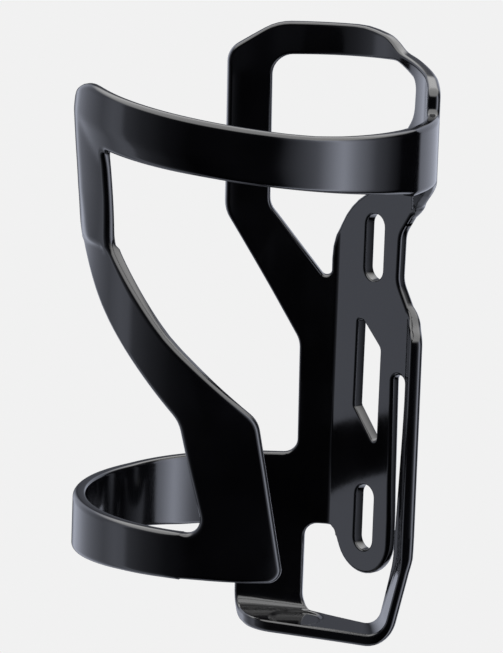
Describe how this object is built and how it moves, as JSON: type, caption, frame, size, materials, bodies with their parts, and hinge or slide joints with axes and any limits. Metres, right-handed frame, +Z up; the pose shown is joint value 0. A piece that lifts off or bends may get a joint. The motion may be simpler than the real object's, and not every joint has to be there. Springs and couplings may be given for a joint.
{
  "type": "water bottle cage",
  "caption": "Side-entry bicycle bottle cage: slotted back plate, upper hoop, base loop and ring, and a sprung arm of band, diagonal strut and foot.",
  "frame": {"origin": "on the mounting face at the back of the plate, midway between the two bolt slots", "axes": "+Z up along the bottle, +Y out of the back of the plate towards the bicycle frame, bottle axis at -Y"},
  "size_m": [0.0799, 0.0827, 0.1423],
  "materials": {
    "back_plate": "gloss black",
    "top_hoop": "gloss black",
    "left_upright": "gloss black",
    "left_rail": "gloss black",
    "left_flank": "gloss black",
    "base_ring_rear": "gloss black",
    "base_ring_front": "gloss black",
    "right_lower_rail": "gloss black",
    "right_web": "gloss black",
    "hoop_right_end": "gloss black",
    "band_shoulder": "gloss black",
    "left_leg": "gloss black",
    "bottom_shelf": "gloss black",
    "right_knee": "gloss black",
    "upper_band": "gloss black",
    "band_tip": "gloss black",
    "front_strut": "gloss black",
    "strut_foot": "gloss black"
  },
  "bodies": {
    "frame": {"back_plate": "back_plate", "top_hoop": "top_hoop", "left_upright": "left_upright", "left_rail": "left_rail", "left_flank": "left_flank", "base_ring_rear": "base_ring_rear", "base_ring_front": "base_ring_front", "right_lower_rail": "right_lower_rail", "right_web": "right_web", "hoop_right_end": "hoop_right_end", "band_shoulder": "band_shoulder", "left_leg": "left_leg", "bottom_shelf": "bottom_shelf", "right_knee": "right_knee"},
    "arm": {"upper_band": "upper_band", "band_tip": "band_tip", "front_strut": "front_strut", "strut_foot": "strut_foot"}
  },
  "joints": [
    {"name": "arm_flex", "type": "hinge", "parent": "frame", "child": "arm", "pos_m": [0.01566, -0.07617, -0.026], "axis": [0.2138, 0.449, 0.8676], "range_deg": [0, 4], "stiffness_Nm_per_rad": 20}
  ]
}
